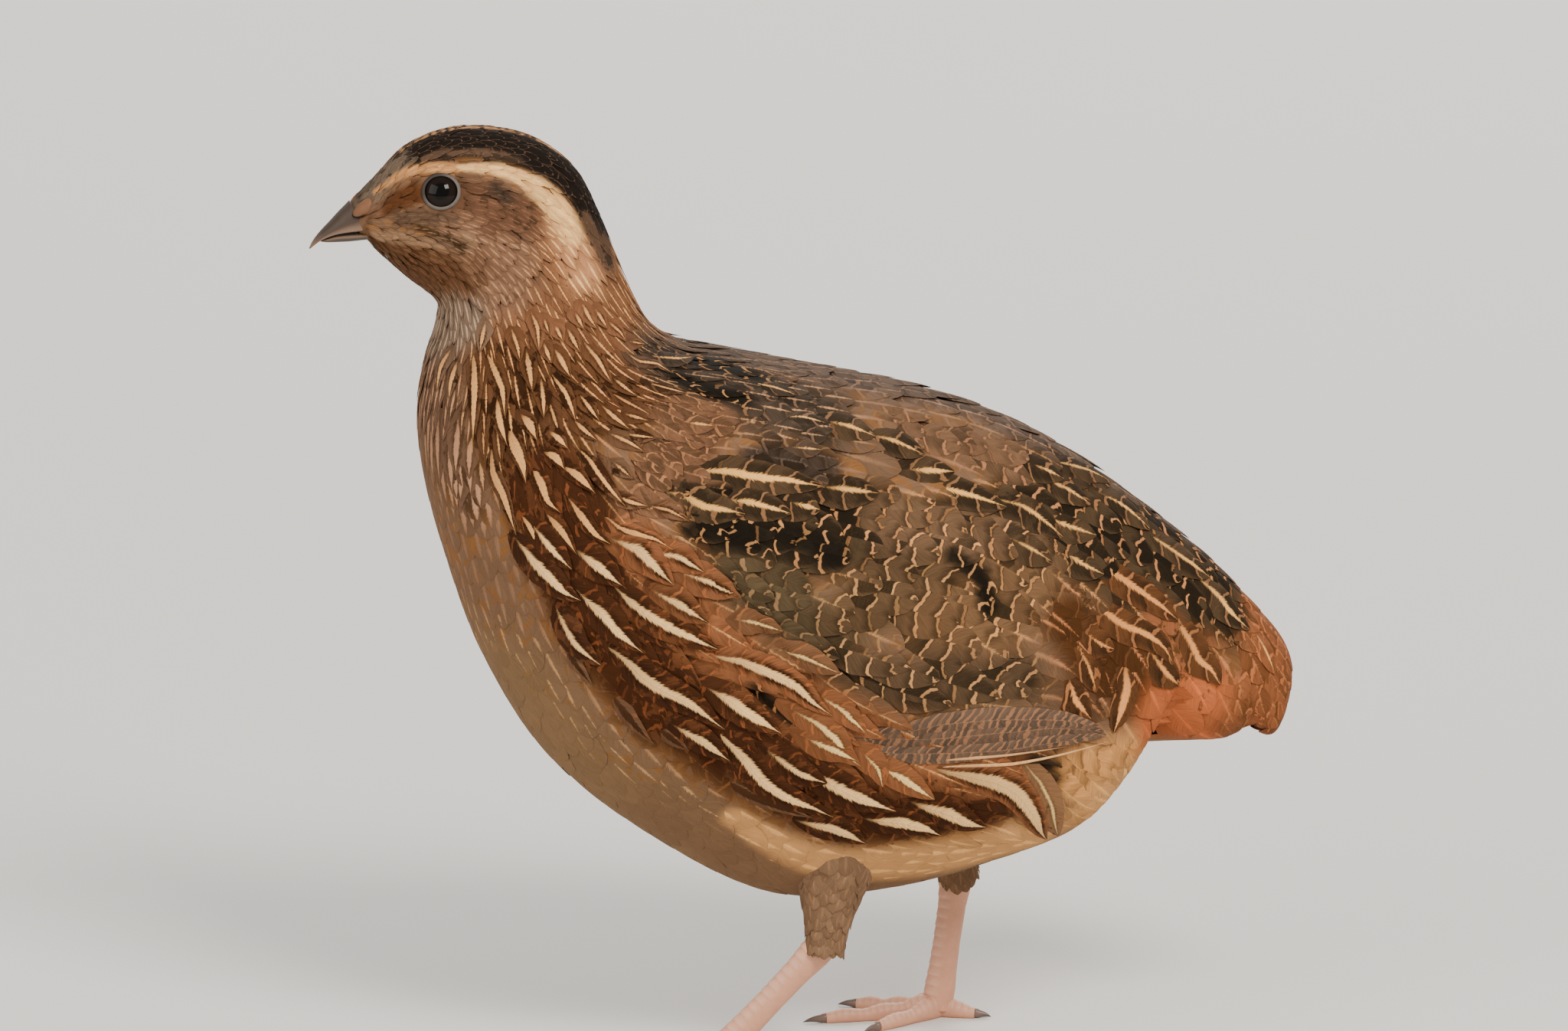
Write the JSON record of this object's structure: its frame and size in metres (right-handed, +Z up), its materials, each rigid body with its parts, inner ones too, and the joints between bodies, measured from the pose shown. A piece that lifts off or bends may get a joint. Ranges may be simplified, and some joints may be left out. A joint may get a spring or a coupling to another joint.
{
  "type": "coturnix quail model",
  "caption": "Life-size still model of a standing quail in a slow walking stance, with folded wings and a short drooping tail.",
  "frame": {"origin": "on the floor under the middle of the bird's length and width, where the toes' flats rest", "axes": "+X towards the tail, the bird faces -X; +Y towards its right side; +Z up"},
  "size_m": [0.1724, 0.0732, 0.1664],
  "materials": {
    "plumage": "body feathers, matt rufous brown with cream shaft streaks",
    "head_plumage": "small matt head feathers, dark crown, cream brow",
    "wing_plumage": "overlapping wing feathers, grey-brown with dark blotches and buff bars",
    "horn": "satin grey-brown horn",
    "eye": "wet gloss, near black",
    "leg_skin": "scaled pinkish flesh-coloured skin",
    "claw": "satin dark horn"
  },
  "bodies": {
    "root": {"torso": "plumage", "neck": "plumage", "head": "head_plumage", "bill_upper": "horn", "bill_lower": "horn", "eye_left": "eye", "eye_right": "eye", "wing_left": "wing_plumage", "wing_right": "wing_plumage", "tail": "plumage", "thigh_left": "plumage", "shank_left": "leg_skin", "foot_left": "leg_skin", "claw_inner_left": "claw", "claw_middle_left": "claw", "claw_outer_left": "claw", "claw_hind_left": "claw", "thigh_right": "plumage", "shank_right": "leg_skin", "foot_right": "leg_skin", "claw_inner_right": "claw", "claw_middle_right": "claw", "claw_outer_right": "claw", "claw_hind_right": "claw"}
  },
  "joints": []
}
